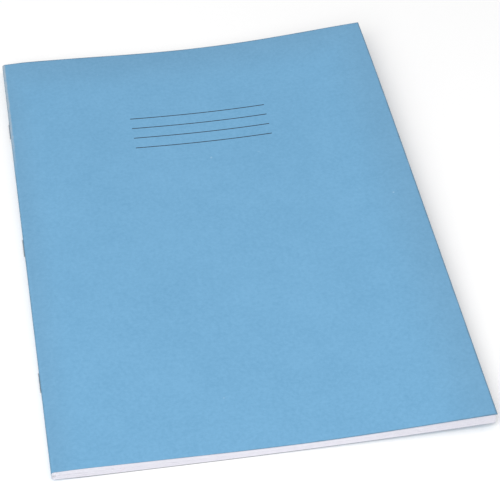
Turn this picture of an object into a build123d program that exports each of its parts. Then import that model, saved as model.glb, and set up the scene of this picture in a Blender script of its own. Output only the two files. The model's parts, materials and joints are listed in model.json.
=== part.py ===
from build123d import *
import math
import os

# Stapled A4 exercise book: folded sheets nested in a folded card cover and
# saddle-stitched through the fold with wire staples. It lies on its back cover
# with the front cover up, the spine at -X and the head at +Y. Z = 0 is the
# surface that it lies on, and X = Y = 0 is the middle of the book.
# Each folded piece is made as its two halves, which meet along the crease,
# because each half turns by itself when the book opens.

# Driving dimensions, in millimetres
book_width = 210.0
book_height = 297.0
sheet_count = 20
paper = 0.09
card = 0.25
wire = 0.5
crown_length = 13.0
clinch_length = 4.5
clinch_bend = 0.5
staple_spacing = 92.0
staple_names = ("staple_tail", "staple_middle", "staple_head")

# The used book lies flat as far as its waist, where it is pressed thinnest, and
# from there it curls up to the fore-edge
waist_share = 0.52
fore_edge_rise = 5.5

# Air between neighbouring leaves at the fold, at the waist, and at the
# fore-edge, where the leaves spread again
fold_air = 0.04
pressed_air = 0.02
edge_air = 0.05
centre_air = 0.12

# Shape of the fold, as shares of its half height, and the clearances
fold_depth_share = 0.75
fold_corner_share = 0.5
crease_gap = 0.02
hole_clearance = 0.03
clinch_clearance = 0.06
flat_enough = 1e-6

# Layers are counted from the table: the back cover, the leaves, the front cover
leaf_count = 2 * sheet_count
back_cover_layer = 0
front_cover_layer = leaf_count + 1

# Sizes of the fold. The innermost sheet folds round the clinched wire.
clinch_half_room = wire / 2 + clinch_clearance
fold_half_height = clinch_half_room + sheet_count * (paper + fold_air) + card
crease_z = fold_half_height
fold_end_x = fold_depth_share * fold_half_height
centre_crest_x = fold_end_x - fold_depth_share * clinch_half_room
waist_x = waist_share * book_width

# Sizes of a staple. The crown's wire is the line that every piece turns about.
crown_stand = wire / 2 + hole_clearance
crown_reach = crown_stand + wire / 2
hole_radius = wire / 2 + hole_clearance
leg_offset = (crown_length - wire) / 2
clinch_x = centre_crest_x + clinch_bend

# The book is centred on X with the staple crowns counted in
spine_x = (crown_reach - book_width) / 2


def thickness(layer):
    """Thickness of the stock that a layer is cut from."""
    return card if layer in (back_cover_layer, front_cover_layer) else paper


def side_of(layer):
    """+1 for the front half of the book, above the crease, and -1 for the back half."""
    return 1 if layer > sheet_count else -1


def underside(layer, air):
    """Height of a layer's lower face where neighbouring leaves lie this far apart."""
    if layer == back_cover_layer:
        return 0.0
    opening = centre_air if layer > sheet_count else 0.0
    return card + air + (layer - 1) * (paper + air) + opening


def fold_reach(layer):
    """Half height, at the fold, of the face of a layer that is nearer the middle."""
    layers_inside = layer - sheet_count - 1 if layer > sheet_count else sheet_count - layer
    return clinch_half_room + layers_inside * (paper + fold_air)


def run_from_waist(waist, end):
    """The run from the waist, which it leaves level, to one end of a leaf: an arc, or a
    straight line where that end is level with the waist."""
    if abs(end[1] - waist[1]) < flat_enough:
        return Line(waist, end)
    return TangentArc(waist, end, tangent=(end[0] - waist[0], 0))


def half_profile_face(half_height, waist_z, edge_z, side):
    """One face of a folded half: up the wall of the fold, round its corner, along the flat
    of the book to the waist, and up the curl to the fore-edge."""
    corner = fold_corner_share * half_height
    wall_x = fold_end_x - fold_depth_share * half_height
    corner_x = wall_x + corner
    corner_z = crease_z + side * (half_height - corner)
    bevel = corner * math.cos(math.pi / 4)
    crease = (wall_x, crease_z + side * crease_gap / 2)
    wall_end = (wall_x, corner_z)
    corner_middle = (corner_x - bevel, corner_z + side * bevel)
    corner_end = (corner_x, crease_z + side * half_height)
    waist = (waist_x, waist_z)
    fore_edge = (book_width, edge_z + fore_edge_rise)
    return [
        Line(crease, wall_end),
        ThreePointArc(wall_end, corner_middle, corner_end),
        run_from_waist(waist, corner_end),
        run_from_waist(waist, fore_edge),
    ]


def half_profile(layer):
    """Closed section of one half of a folded piece, in the XZ plane."""
    side = side_of(layer)
    stock = thickness(layer)
    faces = []
    for far in (False, True):
        is_upper = (side > 0) == far
        rise = stock if is_upper else 0.0
        faces.append(
            half_profile_face(
                fold_reach(layer) + (stock if far else 0.0),
                underside(layer, pressed_air) + rise,
                underside(layer, edge_air) + rise,
                side,
            )
        )
    near, far = faces
    crease_end = Line(near[0] @ 0, far[0] @ 0)
    trimmed_end = Line(near[-1] @ 1, far[-1] @ 1)
    return make_face(near + [trimmed_end] + far + [crease_end])


def staple_places():
    """Y of the middle of each staple, from the tail to the head."""
    first = -staple_spacing * (len(staple_names) - 1) / 2
    return [first + i * staple_spacing for i in range(len(staple_names))]


def leg_holes():
    """The holes that the staple legs pierce through every fold."""
    length = crown_reach + clinch_x
    middle_x = spine_x + length / 2 - crown_reach
    return [
        Pos(middle_x, place + side * leg_offset, crease_z)
        * Cylinder(hole_radius, length, rotation=(0, 90, 0))
        for place in staple_places()
        for side in (-1, 1)
    ]


def folded_half(layer, holes):
    """One half of a folded sheet or of the cover, pierced by the staples."""
    section = Pos(spine_x, 0, 0) * Plane.XZ * half_profile(layer)
    return extrude(section, amount=book_height / 2, both=True) - holes


def staple(place):
    """One staple: the crown outside the spine, two legs through the folds, and the
    ends clinched towards each other inside the centre fold."""
    inner_y = leg_offset - clinch_length
    path = FilletPolyline(
        (clinch_x, -inner_y),
        (clinch_x, -leg_offset),
        (-crown_stand, -leg_offset),
        (-crown_stand, leg_offset),
        (clinch_x, leg_offset),
        (clinch_x, inner_y),
        radius=[clinch_bend, crown_stand, crown_stand, clinch_bend],
    )
    section = Plane(path @ 0, z_dir=path % 0) * Circle(wire / 2)
    return Pos(spine_x, place, crease_z) * sweep(section, path=path)


def all_parts():
    """Every node of the book, by name. Sheet 1 is the outermost."""
    holes = leg_holes()
    parts = {
        "back_cover": folded_half(back_cover_layer, holes),
        "front_cover": folded_half(front_cover_layer, holes),
    }
    for sheet in range(1, sheet_count + 1):
        parts[f"sheet_{sheet:02d}_back_leaf"] = folded_half(sheet, holes)
        front_layer = front_cover_layer - sheet
        parts[f"sheet_{sheet:02d}_front_leaf"] = folded_half(front_layer, holes)
    for name, place in zip(staple_names, staple_places()):
        parts[name] = staple(place)
    return parts


os.makedirs("parts", exist_ok=True)
for node, solid in all_parts().items():
    export_step(solid, f"parts/{node}.step")
print(f"axis X {spine_x - crown_stand:.4f} Z {crease_z:.4f}, block {2 * crease_z:.3f} high")
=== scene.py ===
"""Looks of the stapled exercise book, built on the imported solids.

The folded cover and every leaf are rebuilt as thin curved sheets, which swell at
the fold, are pressed in the middle and curl up at the fore-edge. The staples keep
their solids. Shapes are worked out in millimetres and made into meshes in metres.
"""

import json
import logging
import math
from dataclasses import dataclass, field, replace
from enum import Enum

import bpy
import numpy as np
from mathutils import Matrix, Vector

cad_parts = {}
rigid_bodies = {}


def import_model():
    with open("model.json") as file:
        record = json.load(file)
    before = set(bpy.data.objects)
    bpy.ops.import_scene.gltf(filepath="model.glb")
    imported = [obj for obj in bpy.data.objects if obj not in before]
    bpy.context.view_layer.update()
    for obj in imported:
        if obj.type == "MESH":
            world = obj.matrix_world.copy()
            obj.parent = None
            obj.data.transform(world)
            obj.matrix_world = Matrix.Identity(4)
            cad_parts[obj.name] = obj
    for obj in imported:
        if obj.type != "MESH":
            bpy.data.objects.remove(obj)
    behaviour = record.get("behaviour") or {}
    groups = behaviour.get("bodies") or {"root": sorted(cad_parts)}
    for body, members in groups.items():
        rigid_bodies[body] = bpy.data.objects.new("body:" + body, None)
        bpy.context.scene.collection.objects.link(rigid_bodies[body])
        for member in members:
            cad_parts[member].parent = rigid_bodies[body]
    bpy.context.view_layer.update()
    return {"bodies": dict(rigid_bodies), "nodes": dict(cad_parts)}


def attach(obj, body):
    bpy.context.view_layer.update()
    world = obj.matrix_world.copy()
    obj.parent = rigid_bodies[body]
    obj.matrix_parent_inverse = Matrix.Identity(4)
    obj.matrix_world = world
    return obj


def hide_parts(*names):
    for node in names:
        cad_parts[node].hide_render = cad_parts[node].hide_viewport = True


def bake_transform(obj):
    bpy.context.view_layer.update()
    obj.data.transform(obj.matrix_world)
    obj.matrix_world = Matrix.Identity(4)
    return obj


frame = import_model()

log = logging.getLogger("exercise_book")
MM = 0.001
UV_NAME = "sheet"
EDGE_SPREAD = 1.002
SHARP_ANGLE = 40.0
FALLING = (1.0, 0.0)

# Short names for types: three sizes, a colour, a range, and what a shader input takes
Triple = tuple[float, float, float]
Colour = Triple
Span = tuple[float, float]
Socket = bpy.types.NodeSocket
Feed = Socket | float | tuple[float, ...]


class Side(Enum):
    """Which half of the book a folded half belongs to, as its direction from the crease."""

    FRONT = 1
    BACK = -1

    @property
    def word(self) -> str:
        """The side's name as it stands in the names of pieces."""
        return self.name.lower()


class Slot(Enum):
    """Places in a sheet's list of materials."""

    UPPER = 0
    LOWER = 1
    RIM = 2


def smooth_step(share: np.ndarray) -> np.ndarray:
    """A smooth rise from 0 to 1 as the share does, held outside that range."""
    held = np.clip(share, 0, 1)
    return held * held * (3 - 2 * held)


def metres(sizes: tuple[float, ...]) -> tuple[float, ...]:
    """The same sizes, from millimetres to metres."""
    return tuple(size * MM for size in sizes)


def new_object(name: str, data: bpy.types.ID) -> bpy.types.Object:
    """Puts a mesh, light or camera into the scene.

    Args:
        name: Name of the object.
        data: What the object shows.

    Returns:
        The new object, at the origin.
    """
    obj = bpy.data.objects.new(name, data)
    bpy.context.scene.collection.objects.link(obj)
    return obj


@dataclass(frozen=True)
class BookShape:
    """Sizes of the closed book that all its folded pieces share, in millimetres."""

    # The sheets and their stock
    width: float = 210.0
    height: float = 297.0
    spine_x: float = -104.735
    sheets: int = 20
    paper: float = 0.09
    card: float = 0.25
    # Thickness at the fold and at the waist, and the room that the clinched wire takes
    fold_height: float = 6.32
    waist: float = 5.02
    waist_shift: float = 1.22
    clinch_gap: float = 0.78
    centre_gap: float = 0.12
    clinch_reach: float = 12.0
    depth_share: float = 0.75
    corner_share: float = 0.5
    # How use has pressed, curled and sprung the block
    press: float = 0.15
    press_reach: float = 9.0
    curl_tail: float = 3.3
    curl_head: float = 9.4
    curl_start: float = 0.3
    tail_spring: float = 0.5
    head_drop: float = 0.25
    end_length: float = 40.0
    end_width: float = 52.0
    # How far the edges have lifted, worn and slipped
    cover_lift: float = 0.45
    corner_wear: Span = (0.8, 1.0)
    page_setback: float = 0.5
    edge_slant: float = -0.35
    page_skew: float = 0.4
    # Where the staples hold the fold, and the rows of points from tail to head
    staple_places: tuple[float, ...] = (-92.0, 0.0, 92.0)
    staple_reach: float = 24.0
    end_rows: int = 9
    middle_rows: int = 25

    @property
    def crease_z(self) -> float:
        """Height of the plane that the book folds on."""
        return self.fold_height / 2

    @property
    def leaves(self) -> int:
        """Number of leaves, two to a sheet."""
        return 2 * self.sheets

    @property
    def top_layer(self) -> int:
        """Layer number of the front cover; the back cover is layer 0."""
        return self.leaves + 1

    def rows(self) -> np.ndarray:
        """Where every sheet has a row of points, closest together at the two ends.

        Returns:
            Shares of the height, from tail to head.
        """
        end = self.end_length / self.height
        tail = np.linspace(0, end, self.end_rows, endpoint=False)
        middle = np.linspace(end, 1 - end, self.middle_rows)
        return np.concatenate([tail, middle, 1 - tail[::-1]])

    def stock(self, layer: int) -> float:
        """Thickness of a layer's paper or card."""
        return self.card if layer in (0, self.top_layer) else self.paper

    def block(self, u: np.ndarray) -> np.ndarray:
        """Thickness of the closed book: a cosine of a power of u, most at both edges."""
        swell = (self.fold_height - self.waist) / 2
        return self.waist + swell * (1 + np.cos(2 * np.pi * u**self.waist_shift))

    def pitch(self, u: np.ndarray) -> np.ndarray:
        """Height that each leaf takes up, its air counted in, at shares u of the width."""
        return (self.block(u) - 2 * self.card - self.opening(u)) / self.leaves

    def opening(self, u: np.ndarray) -> np.ndarray:
        """Gap between the two innermost leaves: a bell curve over the clinched wire."""
        bell = np.exp(-((u * self.width / self.clinch_reach) ** 2))
        return self.centre_gap + (self.clinch_gap - self.centre_gap) * bell

    def underside(self, layer: int, u: np.ndarray) -> np.ndarray:
        """Height of a layer's lower face in the uncurled block.

        Args:
            layer: Layer number, counted from the table.
            u: Shares of the width.

        Returns:
            Heights in millimetres.
        """
        if layer == 0:
            return np.zeros_like(u)
        if layer == self.top_layer:
            return self.block(u) - self.card
        above = self.opening(u) if layer > self.sheets else 0.0
        return self.card + (layer - 0.5) * self.pitch(u) - self.paper / 2 + above

    def curl(self, u: np.ndarray, v: np.ndarray) -> np.ndarray:
        """Rise to the fore-edge: a parabola in u from where it starts, growing evenly with v."""
        reach = np.clip((u - self.curl_start) / (1 - self.curl_start), 0, 1)
        return (self.curl_tail + (self.curl_head - self.curl_tail) * v) * reach**2

    def nip(self, layer: int, u: np.ndarray, v: np.ndarray) -> np.ndarray:
        """How far a leaf lies nearer the middle away from the staples, where no wire holds
        the centre fold open: all of the wire's room for the innermost, none for the outermost.

        Args:
            layer: Layer number.
            u: Shares of the width.
            v: Shares of the height.

        Returns:
            Distances in millimetres, always towards the crease plane.
        """
        y = (v - 0.5) * self.height
        held = sum(np.exp(-(((y - place) / self.staple_reach) ** 2)) for place in self.staple_places)
        from_centre = abs(layer - self.top_layer / 2) - 0.5
        room = (self.opening(u) - self.centre_gap) / 2
        return room * (1 - from_centre / self.sheets) * (1 - np.minimum(held, 1))

    def shift(self, layer: int, u: np.ndarray, v: np.ndarray) -> tuple[np.ndarray, ...]:
        """How far use has moved a layer's points. The front cover is rubbed back at its head
        corner and lifts at the fore-edge. What lies under it stands back at the fore-edge
        and is drawn in at the tail. Powers of u and v keep each to its own edge.

        Args:
            layer: Layer number.
            u: Shares of the width.
            v: Shares of the height.

        Returns:
            Shifts along X, Y and Z in millimetres.
        """
        if layer == self.top_layer:
            back, down = self.corner_wear
            return -back * u**4 * v**6, -down * u**12 * v**4, self.cover_lift * u**6
        setback = self.page_setback + self.edge_slant * (1 - layer / self.top_layer)
        return -setback * u**4, self.page_skew * u * (1 - v), np.zeros_like(u)

    def settle(self, u: np.ndarray, v: np.ndarray, z: np.ndarray) -> np.ndarray:
        """Heights after use: the fold is pressed in towards its crease along a bell curve,
        and near the spine the tail end has sprung up and the head end is trodden down.

        Args:
            u: Shares of the width.
            v: Shares of the height.
            z: Heights in the fresh block, in millimetres.

        Returns:
            Heights in millimetres, the same at the crease beside every staple.
        """
        x = u * self.width
        bell = np.exp(-((x / self.press_reach) ** 2))
        near_spine = np.clip(1 - x / self.end_width, 0, 1) ** 2
        tail = smooth_step(1 - v * self.height / self.end_length)
        head = smooth_step(1 - (1 - v) * self.height / self.end_length)
        level = self.crease_z + (z - self.crease_z) * (1 - self.press * bell)
        return level + self.tail_spring * near_spine * tail - self.head_drop * bell * head


@dataclass(frozen=True)
class LeafHabit:
    """Small ways in which one leaf differs from its neighbours, all within its own air."""

    seed: int
    first_seed: int = 1000
    wave_share: float = 0.3
    edge_slip: float = 0.07
    end_slip: float = 0.05

    def random(self) -> np.ndarray:
        """Eight numbers from 0 to 1 that belong to this leaf."""
        return np.random.default_rng(self.first_seed + self.seed).random(8)

    def wave(self, u: np.ndarray, v: np.ndarray, air: np.ndarray) -> np.ndarray:
        """Slow rise and fall of a leaf in its air: two sines, along and across.

        Args:
            u: Shares of the width.
            v: Shares of the height.
            air: Air that the leaf has, in millimetres.

        Returns:
            Rises in millimetres, smaller than the share of the air that it may use.
        """
        a, b, c, d, e, f = self.random()[:6]
        along = np.sin(2 * np.pi * (a + (1.5 + 2 * b) * v + (0.5 + c) * u))
        across = np.sin(2 * np.pi * (d + (2 + 3 * e) * v - (0.5 + f) * u))
        return 0.5 * self.wave_share * air * (along + across)

    def slips(self) -> Span:
        """How far this leaf stands back at the fore-edge, and its slip towards the head."""
        a, b = self.random()[6:]
        return -self.edge_slip * a, self.end_slip * (2 * b - 1)


@dataclass
class FoldedHalf:
    """One half of a folded sheet or of the cover, from the crest of its fold to the fore-edge."""

    name: str
    layer: int
    side: Side
    shape: BookShape
    run_points: int = 64
    corner_points: int = 8
    wall_points: int = 4
    run_bias: float = 1.6
    habit: LeafHabit | None = None
    obj: bpy.types.Object | None = field(default=None, init=False)

    def face_path(self, upper: bool) -> tuple[np.ndarray, np.ndarray]:
        """Section of one face: up the wall of the fold, a quarter turn round its corner,
        then along the run at the layer's own height.

        Args:
            upper: Whether this is the face that looks up in the closed book.

        Returns:
            Distances from the spine and heights, in millimetres, from the crest outwards.
        """
        shape, sign = self.shape, self.side.value
        rise = shape.stock(self.layer) if upper else 0.0
        start = np.zeros(1)
        half = abs(float(shape.underside(self.layer, start)[0]) + rise - shape.crease_z)
        corner = shape.corner_share * half
        wall_x = shape.depth_share * (shape.fold_height / 2 - half)
        wall_h = np.linspace(0, half - corner, self.wall_points, endpoint=False)
        turn = np.linspace(0, np.pi / 2, self.corner_points, endpoint=False)
        corner_x = wall_x + corner * (1 - np.cos(turn))
        corner_h = half - corner + corner * np.sin(turn)
        share = np.linspace(0, 1, self.run_points) ** self.run_bias
        run_x = wall_x + corner + (shape.width - wall_x - corner) * share
        run_z = shape.underside(self.layer, run_x / shape.width) + rise
        x = np.concatenate([np.full(self.wall_points, wall_x), corner_x, run_x])
        z = np.concatenate([shape.crease_z + sign * np.concatenate([wall_h, corner_h]), run_z])
        return x, z

    def face_grid(self, upper: bool) -> tuple[np.ndarray, np.ndarray]:
        """Grid of one face: the section carried from tail to head, nipped, waved, shifted
        by use, settled and curled.

        Args:
            upper: Whether this is the face that looks up in the closed book.

        Returns:
            Points in millimetres, and each point's place on the sheet as shares of its
            width and height, both as arrays over the section and the height.
        """
        shape = self.shape
        path_x, path_z = self.face_path(upper)
        from_crease = np.abs(path_z - shape.crease_z)[:, None]
        corner_height = from_crease[self.wall_points + self.corner_points]
        v = shape.rows()[None, :]
        u = (path_x / shape.width)[:, None]
        x = path_x[:, None] + np.zeros_like(v)
        y = (v - 0.5) * shape.height + np.zeros_like(u)
        nipped = np.minimum(from_crease / corner_height, 1) * shape.nip(self.layer, u, v)
        z = path_z[:, None] - self.side.value * nipped
        if self.habit is not None:
            fore, slip = self.habit.slips()
            fade = np.clip(u * shape.width / shape.clinch_reach, 0, 1)
            z = z + fade * self.habit.wave(u, v, shape.pitch(u) - shape.paper)
            x = x + fore * u**4
            y = y + slip
        x, y, z = (value + move for value, move in zip((x, y, z), shape.shift(self.layer, u, v)))
        z = shape.settle(u, v, z) + shape.curl(u, v)
        steps = np.hypot(np.diff(path_x), np.diff(path_z))
        along = np.concatenate([[0.0], np.cumsum(steps)])
        place = np.stack(np.broadcast_arrays((along / along[-1])[:, None], v), axis=-1)
        return np.stack([x + shape.spine_x, y, z], axis=-1), place

    def build(self) -> bpy.types.Object:
        """Makes the closed sheet from its two faces and the rim between them.

        Returns:
            The new object, with its place in its mesh.
        """
        lower, lower_uv = self.face_grid(False)
        upper, upper_uv = self.face_grid(True)
        lower_uv = lower_uv * [-1, 1] + [1, 0]
        self.obj = closed_sheet(self.name, lower, upper, lower_uv, upper_uv)
        return self.obj

    def dress(self, *materials: bpy.types.Material) -> None:
        """Gives the upper face, the lower face and the cut edges their materials."""
        for material in materials:
            self.obj.data.materials.append(material)


def quads(*corners: np.ndarray) -> np.ndarray:
    """Four-cornered faces from arrays of their first to fourth corners."""
    return np.stack(corners, -1).reshape(-1, 4)


def closed_sheet(
    name: str, lower: np.ndarray, upper: np.ndarray, lower_uv: np.ndarray, upper_uv: np.ndarray
) -> bpy.types.Object:
    """Joins two grids of the same size into one thin closed body.

    Args:
        name: Name of the new object.
        lower: Points of the face that looks down, in millimetres.
        upper: Points of the face that looks up, in millimetres.
        lower_uv: Places on the sheet of the lower points.
        upper_uv: Places on the sheet of the upper points.

    Returns:
        The new object, smooth on its faces and sharp along its cut edges. The cut edges'
        places are those of the upper face, spread a little past its border.
    """
    rows, columns = lower.shape[:2]
    low = np.arange(rows * columns).reshape(rows, columns)
    up = low + low.size
    top = quads(up[:-1, :-1], up[1:, :-1], up[1:, 1:], up[:-1, 1:])
    under = quads(low[:-1, :-1], low[:-1, 1:], low[1:, 1:], low[1:, :-1])
    rims = np.concatenate([
        quads(low[:-1, 0], low[1:, 0], up[1:, 0], up[:-1, 0]),
        quads(low[:-1, -1], up[:-1, -1], up[1:, -1], low[1:, -1]),
        quads(low[-1, :-1], low[-1, 1:], up[-1, 1:], up[-1, :-1]),
        quads(low[0, :-1], up[0, :-1], up[0, 1:], low[0, 1:]),
    ])
    points = np.concatenate([lower.reshape(-1, 3), upper.reshape(-1, 3)]) * MM
    border_uv = 0.5 + (upper_uv - 0.5) * EDGE_SPREAD
    places = np.concatenate([uv.reshape(-1, 2) for uv in (lower_uv, upper_uv, border_uv)])
    faces = np.concatenate([top, under, rims])
    corners = np.concatenate([top, under, np.where(rims < low.size, rims + 2 * low.size, rims)])
    mesh = bpy.data.meshes.new(name)
    mesh.from_pydata(points.tolist(), [], faces.tolist())
    layer = mesh.uv_layers.new(name=UV_NAME)
    layer.data.foreach_set("uv", places[corners.ravel()].astype(np.float32).ravel())
    kinds = np.repeat([slot.value for slot in Slot], [len(top), len(under), len(rims)])
    mesh.polygons.foreach_set("material_index", kinds.astype(np.int32))
    mesh.shade_smooth()
    mesh.set_sharp_from_angle(angle=math.radians(SHARP_ANGLE))
    mesh.update()
    return new_object(name, mesh)


@dataclass(frozen=True)
class Mottle:
    """One noise pattern: how fine it is, how many finer layers it has, and their strength."""

    scale: float
    detail: float
    roughness: float


@dataclass
class NodeBuilder:
    """The nodes of a shader group or of a material, with short ways to add and join them."""

    tree: bpy.types.NodeTree

    @classmethod
    def new_group(cls, name: str, inputs: dict[str, str], outputs: dict[str, str]) -> "NodeBuilder":
        """Starts a node group.

        Args:
            name: Name of the group.
            inputs: Kind of each input, by name.
            outputs: Kind of each output, by name.

        Returns:
            The builder of the group's nodes.
        """
        tree = bpy.data.node_groups.new(name, "ShaderNodeTree")
        for way, sockets in (("INPUT", inputs), ("OUTPUT", outputs)):
            for socket, kind in sockets.items():
                tree.interface.new_socket(socket, in_out=way, socket_type=f"NodeSocket{kind}")
        return cls(tree)

    @classmethod
    def new_material(cls, name: str) -> tuple["NodeBuilder", bpy.types.Material, bpy.types.Node]:
        """Starts a material.

        Args:
            name: Name of the material.

        Returns:
            The builder of its nodes, the material, and its surface shader.
        """
        made = bpy.data.materials.new(name)
        made.use_nodes = True
        return cls(made.node_tree), made, made.node_tree.nodes["Principled BSDF"]

    def add(self, kind: str, **settings: object) -> bpy.types.Node:
        """Adds a node.

        Args:
            kind: Type of the node.
            **settings: Its properties.

        Returns:
            The node.
        """
        node = self.tree.nodes.new(kind)
        for key, value in settings.items():
            setattr(node, key, value)
        return node

    def feed(self, socket: Socket, value: Feed) -> None:
        """Joins an input to another socket, or sets its value.

        Args:
            socket: The input.
            value: The socket to join it to, or a number, colour or vector.
        """
        if isinstance(value, Socket):
            self.tree.links.new(value, socket)
        else:
            socket.default_value = value

    def math(self, operation: str, *values: Feed) -> Socket:
        """One sum on sockets or numbers.

        Args:
            operation: Name of the sum.
            *values: What it works on.

        Returns:
            The result.
        """
        node = self.add("ShaderNodeMath", operation=operation)
        for socket, value in zip(node.inputs, values):
            self.feed(socket, value)
        return node.outputs[0]

    def blend(self, first: Feed, second: Feed, share: float) -> Socket:
        """A value that lies this share of the way from the first to the second."""
        return self.math("MULTIPLY_ADD", self.math("SUBTRACT", second, first), share, first)

    def split(self, vector: Feed) -> tuple[Socket, Socket]:
        """The first two parts of a vector.

        Args:
            vector: The vector.

        Returns:
            Its X and its Y.
        """
        node = self.add("ShaderNodeSeparateXYZ")
        self.feed(node.inputs[0], vector)
        return node.outputs[0], node.outputs[1]

    def noise(self, vector: Feed, pattern: Mottle) -> Socket:
        """A noise pattern's value at a place.

        Args:
            vector: The place.
            pattern: The pattern.

        Returns:
            A value from 0 to 1.
        """
        node = self.add("ShaderNodeTexNoise")
        self.feed(node.inputs["Vector"], vector)
        for key in ("scale", "detail", "roughness"):
            node.inputs[key.title()].default_value = getattr(pattern, key)
        return node.outputs["Fac"]

    def remap(self, value: Feed, span: tuple[Feed, Feed], out: Span = (0.0, 1.0)) -> Socket:
        """A value moved smoothly from one range to another, and held at its ends.

        Args:
            value: The value.
            span: The range that it is read on.
            out: What the two ends of that range become.

        Returns:
            The moved value.
        """
        node = self.add("ShaderNodeMapRange", interpolation_type="SMOOTHSTEP")
        for socket, number in zip(node.inputs, (value, *span, *out)):
            self.feed(socket, number)
        return node.outputs[0]

    def mix(self, factor: Feed, first: Feed, second: Feed, way: str = "MIX") -> Socket:
        """Two colours mixed.

        Args:
            factor: How much of the second one shows.
            first: The colour underneath.
            second: The colour on top.
            way: Name of the way of mixing.

        Returns:
            The mixed colour.
        """
        node = self.add("ShaderNodeMix", data_type="RGBA", blend_type=way)
        self.feed(node.inputs[0], factor)
        for socket, colour in zip(node.inputs[6:8], (first, second)):
            self.feed(socket, colour if isinstance(colour, Socket) else (*colour, 1.0))
        return node.outputs[2]

    def scaled(self, vector: Feed, factors: Triple, turn: float = 0.0) -> Socket:
        """A vector scaled along each axis and turned about Z.

        Args:
            vector: The vector.
            factors: Scale along X, Y and Z.
            turn: Angle in radians.

        Returns:
            The new vector.
        """
        node = self.add("ShaderNodeMapping", vector_type="POINT")
        self.feed(node.inputs["Vector"], vector)
        node.inputs["Rotation"].default_value = (0.0, 0.0, turn)
        node.inputs["Scale"].default_value = factors
        return node.outputs[0]

    def bump(self, height: Feed, strength: float, depth: float) -> Socket:
        """The normal of a surface with a fine relief.

        Args:
            height: The relief, from 0 to 1.
            strength: How much of it shows.
            depth: Its depth in millimetres.

        Returns:
            The normal.
        """
        node = self.add("ShaderNodeBump")
        node.inputs["Strength"].default_value = strength
        node.inputs["Distance"].default_value = depth * MM
        self.feed(node.inputs["Height"], height)
        return node.outputs[0]

    def use(self, group: bpy.types.NodeTree, **inputs: Feed) -> dict[str, Socket]:
        """Places a node group.

        Args:
            group: The group.
            **inputs: What its inputs are fed.

        Returns:
            Its outputs by name.
        """
        node = self.add("ShaderNodeGroup", node_tree=group)
        for name, value in inputs.items():
            self.feed(node.inputs[name], value)
        return {socket.name: socket for socket in node.outputs}


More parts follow.
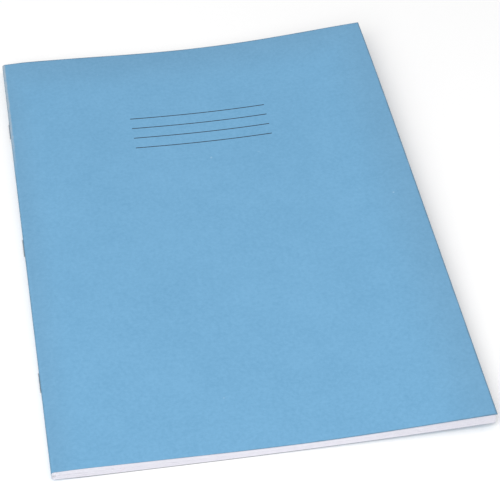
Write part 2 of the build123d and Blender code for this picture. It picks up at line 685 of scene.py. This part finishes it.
@dataclass
class SharedEffects:
    """The node groups that more than one finish uses."""

    cloud: Mottle = Mottle(0.02, 6.0, 0.95)
    grain: Mottle = Mottle(0.6, 3.0, 0.7)
    grain_in_cloud: float = 0.5
    strand: Mottle = Mottle(0.55, 1.0, 0.4)
    strand_turns: tuple[float, ...] = (0.35, 1.45, 2.5)
    strand_shape: Triple = (1.0, 6.0, 1.0)
    strand_level: Span = (0.62, 0.78)
    strand_in_relief: float = 0.4
    rule_inputs: tuple[str, ...] = ("First", "Spacing", "Last", "Left", "Right", "Half")
    ink_edge: Span = (0.7, 1.3)
    # The band inside the cut edges is partly handling wear and partly painted edge shade.
    rub_noise: Mottle = Mottle(90.0, 3.0, 0.6)
    rub_spread: float = 2.0
    fibre: bpy.types.NodeTree = field(init=False)
    rules: bpy.types.NodeTree = field(init=False)
    rub: bpy.types.NodeTree = field(init=False)

    def __post_init__(self) -> None:
        """Builds each group once."""
        self.fibre = self.build_fibre()
        self.rules = self.build_rules()
        self.rub = self.build_rub()

    def build_fibre(self) -> bpy.types.NodeTree:
        """Pulp of paper or card: cloudy mottle, fine grain, and short fibres lying three ways.

        Returns:
            A group from a place in metres and a fibre's size to a tone, a fibre mask and a height.
        """
        b = NodeBuilder.new_group(
            "pulp_fibre",
            {"Place": "Vector", "Coarseness": "Float"},
            {"Cloud": "Float", "Fibre": "Float", "Height": "Float"},
        )
        inside = b.add("NodeGroupInput").outputs
        sized = b.add("ShaderNodeVectorMath", operation="SCALE")
        b.feed(sized.inputs["Vector"], inside["Place"])
        b.feed(sized.inputs["Scale"], b.math("DIVIDE", 1.0, inside["Coarseness"]))
        place = sized.outputs["Vector"]
        grain = b.noise(place, self.grain)
        cloud = b.blend(b.noise(place, self.cloud), grain, self.grain_in_cloud)
        strands = 0.0
        for turn in self.strand_turns:
            strand = b.noise(b.scaled(place, self.strand_shape, turn), self.strand)
            strands = b.math("MAXIMUM", strands, b.remap(strand, self.strand_level))
        height = b.blend(grain, strands, self.strand_in_relief)
        outside = b.add("NodeGroupOutput").inputs
        for name, value in (("Cloud", cloud), ("Fibre", strands), ("Height", height)):
            b.feed(outside[name], value)
        return b.tree

    def build_rules(self) -> bpy.types.NodeTree:
        """Evenly spaced printed rules in a rectangle, with soft ink edges.

        Returns:
            A group from a place in metres to an ink mask.
        """
        numbers = {name: "Float" for name in self.rule_inputs}
        b = NodeBuilder.new_group("printed_rules", {"Place": "Vector", **numbers}, {"Ink": "Float"})
        inside = b.add("NodeGroupInput").outputs
        x, y = b.split(inside["Place"])
        first, spacing, last, left, right, half = (inside[name] for name in self.rule_inputs)
        steps = b.math("DIVIDE", b.math("SUBTRACT", y, first), spacing)
        phase = b.math("SUBTRACT", b.math("FRACT", b.math("ADD", steps, 0.5)), 0.5)
        away = b.math("MULTIPLY", b.math("ABSOLUTE", phase), spacing)
        inner, outer = (b.math("MULTIPLY", half, share) for share in self.ink_edge)
        ink = b.remap(away, (inner, outer), FALLING)
        slack = b.math("MULTIPLY", spacing, 0.5)
        edges = (
            b.math("GREATER_THAN", y, b.math("SUBTRACT", first, slack)),
            b.math("LESS_THAN", y, b.math("ADD", last, slack)),
            b.math("GREATER_THAN", x, left),
            b.math("LESS_THAN", x, right),
        )
        for edge in edges:
            ink = b.math("MULTIPLY", ink, edge)
        b.feed(b.add("NodeGroupOutput").inputs["Ink"], ink)
        return b.tree

    def build_rub(self) -> bpy.types.NodeTree:
        """Handling wear and painted edge shade along the edges of a sheet: an uneven band inside its three
        cut edges.

        Returns:
            A group from shares of the sheet, a place in metres and the fore-edge's share
            to a mask.
        """
        numbers = {name: "Float" for name in ("Width", "Height", "Reach", "Fore")}
        b = NodeBuilder.new_group(
            "edge_rub", {"Share": "Vector", "Place": "Vector", **numbers}, {"Mask": "Float"}
        )
        inside = b.add("NodeGroupInput").outputs
        u, v = b.split(inside["Share"])
        off_fore = b.math("ABSOLUTE", b.math("SUBTRACT", u, inside["Fore"]))
        off_end = b.math("MINIMUM", v, b.math("SUBTRACT", 1.0, v))
        fore = b.math("MULTIPLY", off_fore, inside["Width"])
        nearest = b.math("MINIMUM", fore, b.math("MULTIPLY", off_end, inside["Height"]))
        uneven = b.math("MULTIPLY", inside["Reach"], b.noise(inside["Place"], self.rub_noise))
        band = b.remap(nearest, (0.0, b.math("MULTIPLY", uneven, self.rub_spread)), FALLING)
        b.feed(b.add("NodeGroupOutput").inputs["Mask"], band)
        return b.tree

    def ruled(self, b: NodeBuilder, place: Feed, lines: Triple, ends: Span, half_width: float) -> Socket:
        """Places a block of printed rules in a material.

        Args:
            b: The material's nodes.
            place: The place in metres.
            lines: First rule, spacing and last rule, in millimetres from the tail.
            ends: Where the rules start and end, in millimetres from the left edge.
            half_width: Half the width of a rule, in millimetres.

        Returns:
            The ink mask.
        """
        numbers = dict(zip(self.rule_inputs, metres((*lines, *ends, half_width))))
        return b.use(self.rules, Place=place, **numbers)["Ink"]


@dataclass(frozen=True)
class SheetFinish:
    """What the finishes of card and paper have in common."""

    name: str
    colour: Colour
    cloud_colour: Colour
    fibre_colour: Colour
    rub_colour: Colour
    coarseness: float
    roughness: Span
    fibre_amount: float
    rub_amount: float
    rub_reach: Span
    bump: float
    specular: float
    spine_share: float = 0.0
    flat_width: float = 212.5
    flat_height: float = 297.0
    cloud_level: Span = (0.3, 0.7)
    relief_depth: float = 0.05

    def ink(self, b: NodeBuilder, effects: SharedEffects, place: Feed, colour: Feed) -> Feed:
        """The colour with this finish's printing on it; plain stock has none."""
        return colour

    def wear(self, b: NodeBuilder, share: Feed, place: Feed, colour: Feed) -> Feed:
        """The colour with this finish's wear and painted light on it; inner faces and pages have none."""
        return colour

    def off_spine(self, b: NodeBuilder, u: Feed) -> Socket:
        """How far from the spine a point lies, as a share of the sheet's width."""
        return b.math("ABSOLUTE", b.math("SUBTRACT", u, self.spine_share))

    def material(self, effects: SharedEffects, shape: BookShape) -> bpy.types.Material:
        """Builds the material: tinted pulp, printing, and edge bands of wear and painted shade, over a
        matt surface.

        Args:
            effects: The shared node groups.
            shape: The book, whose sheet size scales the pattern.

        Returns:
            The material, which reads the sheet's own UV map.
        """
        b, made, shader = NodeBuilder.new_material(self.name)
        width, height = metres((shape.width, shape.height))
        share = b.add("ShaderNodeUVMap", uv_map=UV_NAME).outputs[0]
        place = b.scaled(share, (width, height, 1.0))
        pulp = b.use(effects.fibre, Place=place, Coarseness=self.coarseness)
        colour = b.mix(b.remap(pulp["Cloud"], self.cloud_level), self.cloud_colour, self.colour)
        fibre = b.math("MULTIPLY", pulp["Fibre"], self.fibre_amount)
        colour = self.ink(b, effects, place, b.mix(fibre, colour, self.fibre_colour))
        u, v = b.split(share)
        edge_reach_share = b.math("MAXIMUM", self.off_spine(b, u), v)
        rub = b.use(
            effects.rub,
            Share=share,
            Place=place,
            Width=width,
            Height=height,
            Reach=b.remap(edge_reach_share, (0.0, 1.0), metres(self.rub_reach)),
            Fore=1.0 - self.spine_share,
        )
        # Darkens the band inside the cut edges: handling wear and painted edge shade.
        worn_and_shaded = b.math("MULTIPLY", rub["Mask"], self.rub_amount)
        colour = self.wear(b, share, place, b.mix(worn_and_shaded, colour, self.rub_colour))
        b.feed(shader.inputs["Base Color"], colour)
        b.feed(shader.inputs["Roughness"], b.remap(pulp["Cloud"], self.cloud_level, self.roughness))
        b.feed(shader.inputs["Normal"], b.bump(pulp["Height"], self.bump, self.relief_depth))
        shader.inputs["Specular IOR Level"].default_value = self.specular
        return made


@dataclass(frozen=True)
class OuterCardFinish(SheetFinish):
    """Outside of the cover: darker towards its edges, with painted shade along its fold and a painted
    highlight on the fold near the head.
    """

    tone_colour: Colour = (0.955, 0.915, 0.905)
    tone_reach: Triple = (20.0, 32.0, 36.0)
    ragged: Mottle = Mottle(220.0, 3.0, 0.65)
    ragged_depth: float = 1.6
    # Painted shade: a dark ragged band along the fold, where it turns away from the light.
    grime_reach: Span = (1.0, 3.7)
    grime_colour: Colour = (0.072, 0.128, 0.175)
    grime_patches: Mottle = Mottle(70.0, 5.0, 0.75)
    grime_level: Span = (0.3, 0.7)
    grime_amounts: Span = (0.25, 0.9)
    # Painted highlight: a pale patchy band on the rounded fold near the head, where it catches the light.
    scuff_middle: float = 2.8
    scuff_reach: Span = (0.5, 1.4)
    scuff_start: Span = (0.66, 0.82)
    scuff_colour: Colour = (0.47, 0.48, 0.48)
    scuff_patches: Mottle = Mottle(130.0, 5.0, 0.8)
    scuff_level: Span = (0.25, 0.6)
    scuff_amounts: Span = (0.22, 0.55)
    flecks: Mottle = Mottle(190.0, 2.0, 0.5)
    fleck_level: Span = (0.76, 0.80)
    fleck_colour: Colour = (0.48, 0.64, 0.76)
    fleck_amounts: Span = (0.0, 0.35)

    def tone(self, b: NodeBuilder, off_spine: Feed, v: Feed, colour: Feed) -> Socket:
        """The colour darkened towards the spine, the fore-edge and the head.

        Args:
            b: The material's nodes.
            off_spine: Distance from the spine in metres.
            v: Share of the height.
            colour: The card's colour.

        Returns:
            The darkened colour.
        """
        off_fore = b.math("SUBTRACT", self.flat_width * MM, off_spine)
        off_head = b.math("MULTIPLY", b.math("SUBTRACT", 1.0, v), self.flat_height * MM)
        toned = 0.0
        for distance, reach in zip((off_spine, off_fore, off_head), metres(self.tone_reach)):
            toned = b.math("MAXIMUM", toned, b.remap(distance, (0.0, reach), FALLING))
        return b.mix(toned, colour, self.tone_colour, "MULTIPLY")

    def wear(self, b: NodeBuilder, share: Feed, place: Feed, colour: Feed) -> Socket:
        """The colour darkened towards its edges, with ragged painted shade along the fold, a painted
        highlight on the fold near the head, and a few pale flecks.

        Args:
            b: The material's nodes.
            share: Shares of the sheet.
            place: The place in metres.
            colour: The card's colour.

        Returns:
            The colour with its painted shade, painted highlight and flecks.
        """
        u, v = b.split(share)
        away = b.math("MULTIPLY", self.off_spine(b, u), self.flat_width * MM)
        colour = self.tone(b, away, v, colour)
        uneven = b.math("SUBTRACT", b.noise(place, self.ragged), 0.5)
        away = b.math("ADD", away, b.math("MULTIPLY", uneven, self.ragged_depth * MM))
        # Painted shade along the fold, in uneven patches.
        fold_shade = b.remap(away, metres(self.grime_reach), FALLING)
        patchy = b.remap(b.noise(place, self.grime_patches), self.grime_level, self.grime_amounts)
        colour = b.mix(b.math("MULTIPLY", fold_shade, patchy), colour, self.grime_colour)
        # Painted highlight on the fold, growing towards the head.
        off_bend = b.math("ABSOLUTE", b.math("SUBTRACT", away, self.scuff_middle * MM))
        fold_highlight = b.remap(off_bend, metres(self.scuff_reach), FALLING)
        patchy = b.remap(b.noise(place, self.scuff_patches), self.scuff_level, self.scuff_amounts)
        fold_highlight = b.math("MULTIPLY", b.math("MULTIPLY", fold_highlight, patchy), b.remap(v, self.scuff_start))
        colour = b.mix(fold_highlight, colour, self.scuff_colour)
        fleck = b.remap(b.noise(place, self.flecks), self.fleck_level, self.fleck_amounts)
        return b.mix(fleck, colour, self.fleck_colour)


@dataclass(frozen=True)
class NameLineFinish(OuterCardFinish):
    """Cover card printed with a block of plain lines for the owner's name."""

    lines: Triple = (215.12, 8.14, 239.54)
    ends: Span = (68.4, 143.4)
    half_width: float = 0.30
    ink_colour: Colour = (0.024, 0.032, 0.045)
    ink_noise: Mottle = Mottle(900.0, 2.0, 0.6)
    ink_level: Span = (0.2, 0.5)
    ink_amounts: Span = (0.75, 1.0)

    def ink(self, b: NodeBuilder, effects: SharedEffects, place: Feed, colour: Feed) -> Socket:
        """The colour with the name lines printed over it, a little worn.

        Args:
            b: The material's nodes.
            effects: The shared node groups.
            place: The place in metres.
            colour: The card's colour.

        Returns:
            The printed colour.
        """
        rules = effects.ruled(b, place, self.lines, self.ends, self.half_width)
        worn = b.remap(b.noise(place, self.ink_noise), self.ink_level, self.ink_amounts)
        return b.mix(b.math("MULTIPLY", rules, worn), colour, self.ink_colour)


@dataclass(frozen=True)
class TableEdgeFinish(SheetFinish):
    """Cut edges next to the table: clean round the fold, and past it darkened with painted contact shadow
    and grime.
    """

    # Painted contact shadow and grime: a near-black band along the edge on the table, lighter towards the
    # fore-edge.
    dirt_colour: Colour = (0.02, 0.022, 0.028)
    dirt_reach: Span = (3.0, 16.0)
    dirt_amount: float = 0.97
    dirt_fade: Span = (0.35, 0.8)
    dirt_left: float = 0.3

    def wear(self, b: NodeBuilder, share: Feed, place: Feed, colour: Feed) -> Socket:
        """The colour with painted contact shadow and grime, clean at the fold and fading towards the
        fore-edge.

        Args:
            b: The material's nodes.
            share: Shares of the sheet.
            place: The place in metres; not used.
            colour: The stock's colour.

        Returns:
            The colour with painted contact shadow and grime.
        """
        u, _ = b.split(share)
        near, far = (reach / self.flat_width for reach in self.dirt_reach)
        # Painted contact shadow and grime along the edge next to the table.
        contact_shadow_and_dirt = b.remap(u, (near, far), (0.0, self.dirt_amount))
        left = b.remap(u, self.dirt_fade, (1.0, self.dirt_left))
        return b.mix(b.math("MULTIPLY", contact_shadow_and_dirt, left), colour, self.dirt_colour)


@dataclass(frozen=True)
class RuledPageFinish(SheetFinish):
    """Writing paper with feint rules and a margin line down its left side."""

    feints: Triple = (14.0, 8.0, 270.0)
    margin: Triple = (32.0, 10.0, 32.0)
    ends: Span = (-2000.0, 2000.0)
    half_width: float = 0.13
    ink_amount: float = 0.8
    feint_colour: Colour = (0.42, 0.55, 0.78)
    margin_colour: Colour = (0.80, 0.42, 0.46)

    def ink(self, b: NodeBuilder, effects: SharedEffects, place: Feed, colour: Feed) -> Socket:
        """The colour with the feint rules and the margin printed over it from edge to edge.

        Args:
            b: The material's nodes.
            effects: The shared node groups.
            place: The place in metres.
            colour: The paper's colour.

        Returns:
            The printed colour.
        """
        turned = b.scaled(place, (1.0, 1.0, 1.0), math.pi / 2)
        inks = ((place, self.feints, self.feint_colour), (turned, self.margin, self.margin_colour))
        for where, lines, ink_colour in inks:
            rules = effects.ruled(b, where, lines, self.ends, self.half_width)
            colour = b.mix(b.math("MULTIPLY", rules, self.ink_amount), colour, ink_colour)
        return colour


@dataclass(frozen=True)
class WireFinish:
    """Galvanised stitching wire: drawn streaks, dull spangle and small scuffs."""

    name: str = "staple_wire"
    bright: Colour = (0.78, 0.79, 0.80)
    dull: Colour = (0.52, 0.53, 0.55)
    roughness: Span = (0.5, 0.30)
    streak: Mottle = Mottle(900.0, 2.0, 0.5)
    streak_shape: Triple = (12.0, 1.0, 12.0)
    spangle: Mottle = Mottle(2600.0, 3.0, 0.6)
    spangle_share: float = 0.5
    tone_level: Span = (0.35, 0.62)
    bump: float = 0.15
    relief_depth: float = 0.02

    def material(self) -> bpy.types.Material:
        """Builds the metal, which reads Object coordinates because the wire is rigid.

        Returns:
            The material.
        """
        b, made, shader = NodeBuilder.new_material(self.name)
        shader.inputs["Metallic"].default_value = 1.0
        place = b.add("ShaderNodeTexCoord").outputs["Object"]
        streaks = b.noise(b.scaled(place, self.streak_shape), self.streak)
        mixed = b.blend(streaks, b.noise(place, self.spangle), self.spangle_share)
        tone = b.remap(mixed, self.tone_level)
        b.feed(shader.inputs["Base Color"], b.mix(tone, self.dull, self.bright))
        b.feed(shader.inputs["Roughness"], b.remap(tone, (0.0, 1.0), self.roughness))
        b.feed(shader.inputs["Normal"], b.bump(streaks, self.bump, self.relief_depth))
        return made


CARD = SheetFinish(
    name="cover_card",
    colour=(0.170, 0.388, 0.602),
    cloud_colour=(0.132, 0.329, 0.525),
    fibre_colour=(0.202, 0.420, 0.627),
    # A dark band inside the cover's cut edges: handling wear and painted edge shade.
    rub_colour=(0.085, 0.155, 0.215),
    coarseness=0.0012,
    roughness=(0.72, 0.85),
    fibre_amount=0.3,
    rub_amount=0.75,
    rub_reach=(0.25, 0.9),
    bump=0.35,
    specular=0.3,
)
CUT_CARD = replace(
    CARD,
    name="cut_card",
    colour=(0.66, 0.67, 0.74),
    cloud_colour=(0.55, 0.57, 0.65),
    fibre_colour=(0.72, 0.73, 0.79),
    rub_amount=0.25,
)
PAPER = SheetFinish(
    name="page_edges",
    colour=(0.737, 0.731, 0.787),
    cloud_colour=(0.686, 0.680, 0.741),
    fibre_colour=(0.777, 0.771, 0.818),
    rub_colour=(0.66, 0.655, 0.70),
    coarseness=0.0005,
    roughness=(0.80, 0.90),
    fibre_amount=0.3,
    rub_amount=0.0,
    rub_reach=(0.5, 0.5),
    bump=0.2,
    specular=0.2,
)


def derived(finish: SheetFinish, kind: type[SheetFinish], name: str, **values: float) -> SheetFinish:
    """The same stock as another finish, with that kind's printing, wear and painted light on it.

    Args:
        finish: The plain stock.
        kind: Class of the new finish.
        name: Name of its material.
        **values: Fields of the new finish that differ from its defaults.

    Returns:
        The new finish.
    """
    stock = {key: getattr(finish, key) for key in SheetFinish.__dataclass_fields__}
    return kind(**{**stock, "name": name, **values})


@dataclass
class FoldedCover:
    """The card cover: two halves that meet along the spine and bend round it together."""

    shape: BookShape
    bend_height: float = 4.0
    bend_lean: float = 0.5

    def build(self) -> list[FoldedHalf]:
        """Builds both halves and hides the cover solids that they stand in for.

        Returns:
            The front half and the back half.
        """
        shape = self.shape
        halves = []
        for side, layer in ((Side.FRONT, shape.top_layer), (Side.BACK, 0)):
            half = FoldedHalf(f"folded_card_{side.word}", layer, side, shape)
            obj = half.build()
            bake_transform(obj)
            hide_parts(f"{side.word}_cover")
            halves.append(half)
        return halves

    def dress(self, halves: list[FoldedHalf], effects: SharedEffects) -> None:
        """Gives both halves their card: worn outside, with painted shade and a painted highlight along the
        fold, and the name lines on the front.

        Args:
            halves: The front half and the back half.
            effects: The shared node groups.
        """
        finishes = (
            CARD,
            CUT_CARD,
            derived(CARD, NameLineFinish, "cover_card_name_lines"),
            derived(CARD, OuterCardFinish, "cover_card_back", spine_share=1.0),
            # Back cover's cut edge, with painted contact shadow and grime.
            derived(CUT_CARD, TableEdgeFinish, "grubby_cut_card"),
        )
        made = (finish.material(effects, self.shape) for finish in finishes)
        inside, cut, front_card, back_card, table_cut = made
        front, back = halves
        front.dress(front_card, inside, cut)
        back.dress(inside, back_card, table_cut)


@dataclass
class SheetBlock:
    """The nested folded sheets, as leaves that splay from the stitched centre."""

    shape: BookShape
    centre_body: str = "stitched_centre"
    bend_start: float = 2.4
    bend_reach: float = 11.0
    # The lowest leaves' cut edges get painted contact shadow and grime.
    grubby_leaves: int = 2
    grubby_amount: float = 0.5

    def build(self) -> list[FoldedHalf]:
        """Builds both leaves of every sheet, and fixes to the stitched centre each leaf that has no body
        of its own.

        Returns:
            The leaves, from the table upwards.
        """
        shape = self.shape
        leaves = []
        for layer in range(1, shape.leaves + 1):
            side = Side.FRONT if layer > shape.sheets else Side.BACK
            sheet = shape.top_layer - layer if side is Side.FRONT else layer
            node = f"sheet_{sheet:02d}_{side.word}_leaf"
            leaf = FoldedHalf(f"page_{sheet:02d}_{side.word}", layer, side, shape, habit=LeafHabit(layer))
            obj = leaf.build()
            if node in frame["bodies"]:
                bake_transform(obj)
            else:
                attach(obj, self.centre_body)
            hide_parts(node)
            leaves.append(leaf)
        return leaves

    def dress(self, leaves: list[FoldedHalf], effects: SharedEffects) -> None:
        """Gives every leaf ruled faces and plain cut edges, with painted contact shadow and grime on those
        next to the table.

        Args:
            leaves: The leaves.
            effects: The shared node groups.
        """
        finishes = (
            PAPER,
            derived(PAPER, RuledPageFinish, "ruled_page"),
            derived(PAPER, TableEdgeFinish, "grubby_page_edges", dirt_amount=self.grubby_amount),
        )
        edges, ruled, shaded_grubby_edges = (finish.material(effects, self.shape) for finish in finishes)
        for leaf in leaves:
            leaf.dress(ruled, ruled, shaded_grubby_edges if leaf.layer <= self.grubby_leaves else edges)


@dataclass
class Staples:
    """The wire staples, which keep their solids."""

    nodes: tuple[str, ...] = ("staple_tail", "staple_middle", "staple_head")

    def dress(self) -> None:
        """Gives the three staples their wire finish."""
        wire = WireFinish().material()
        for node in self.nodes:
            mesh = frame["nodes"][node].data
            mesh.materials.clear()
            mesh.materials.append(wire)


@dataclass(frozen=True)
class SoftLight:
    """One large round area light, aimed at a point on the book."""

    name: str
    place: Triple
    aim: Triple
    size: float
    watts: float

    def build(self) -> None:
        """Adds the light to the scene."""
        data = bpy.data.lights.new(self.name, "AREA")
        data.shape = "DISK"
        data.size = self.size
        data.energy = self.watts
        obj = new_object(self.name, data)
        obj.location = self.place
        obj.rotation_euler = (Vector(self.aim) - Vector(self.place)).to_track_quat("-Z", "Y").to_euler()


@dataclass
class Studio:
    """Pale floor, soft light and the camera at the photograph's viewing angle."""

    camera_place: Triple = (-0.119495, -0.619545, 0.618019)
    elevation: float = 44.956
    azimuth: float = 12.192
    roll: float = 2.845
    lens: float = 120.814
    sensor: float = 36.0
    clip: Span = (0.01, 50.0)
    floor_size: float = 6.0
    floor_drop: float = 0.00004
    floor_tone: float = 0.93
    floor_roughness: float = 0.9
    floor_specular: float = 0.1
    sky: float = 0.68
    key: SoftLight = SoftLight("key_softbox", (-0.6, -1.0, 1.2), (0.0, -0.05, 0.0), 1.8, 23.5)

    def build(self) -> None:
        """Builds the whole stage."""
        self.build_floor()
        self.build_sky()
        self.key.build()
        self.build_camera()
        bpy.context.scene.view_settings.view_transform = "Standard"

    def build_floor(self) -> None:
        """A flat sheet just below the book, in pale matt paint."""
        half = self.floor_size / 2
        corners = [(x * half, y * half, -self.floor_drop) for x, y in ((-1, -1), (1, -1), (1, 1), (-1, 1))]
        mesh = bpy.data.meshes.new("studio_floor")
        mesh.from_pydata(corners, [], [(0, 1, 2, 3)])
        _, paint, shader = NodeBuilder.new_material("floor_paint")
        shader.inputs["Base Color"].default_value = (*[self.floor_tone] * 3, 1.0)
        shader.inputs["Roughness"].default_value = self.floor_roughness
        shader.inputs["Specular IOR Level"].default_value = self.floor_specular
        mesh.materials.append(paint)
        new_object("studio_floor", mesh)

    def build_sky(self) -> None:
        """Even white light from all round."""
        world = bpy.data.worlds.new("studio_white")
        bpy.context.scene.world = world
        world.use_nodes = True
        background = world.node_tree.nodes["Background"]
        background.inputs["Color"].default_value = (1.0, 1.0, 1.0, 1.0)
        background.inputs["Strength"].default_value = self.sky

    def build_camera(self) -> None:
        """The camera, from its place, its two viewing angles and its roll."""
        data = bpy.data.cameras.new("camera")
        data.sensor_width = self.sensor
        data.lens = self.lens
        data.clip_start, data.clip_end = self.clip
        obj = new_object("camera", data)
        bpy.context.scene.camera = obj
        az, el, roll = (math.radians(a) for a in (self.azimuth, self.elevation, self.roll))
        ahead = Vector((math.sin(az) * math.cos(el), math.cos(az) * math.cos(el), -math.sin(el)))
        level = ahead.cross(Vector((0, 0, 1))).normalized()
        above = level.cross(ahead)
        right = math.cos(roll) * level + math.sin(roll) * above
        axes = Matrix((right, right.cross(ahead), -ahead)).transposed().to_4x4()
        obj.matrix_world = Matrix.Translation(self.camera_place) @ axes


def main() -> None:
    """Builds and dresses every piece of the book, then the studio."""
    logging.basicConfig(level=logging.INFO, format="%(name)s: %(message)s")
    shape = BookShape()
    effects = SharedEffects()
    cover = FoldedCover(shape)
    halves = cover.build()
    cover.dress(halves, effects)
    block = SheetBlock(shape)
    leaves = block.build()
    block.dress(leaves, effects)
    staples = Staples()
    staples.dress()
    Studio().build()
    for piece in halves + leaves:
        log.info("%s: layer %d, %d points", piece.name, piece.layer, len(piece.obj.data.vertices))
    for node in staples.nodes:
        log.info("%s: keeps its solid", node)


if __name__ == "__main__":
    main()
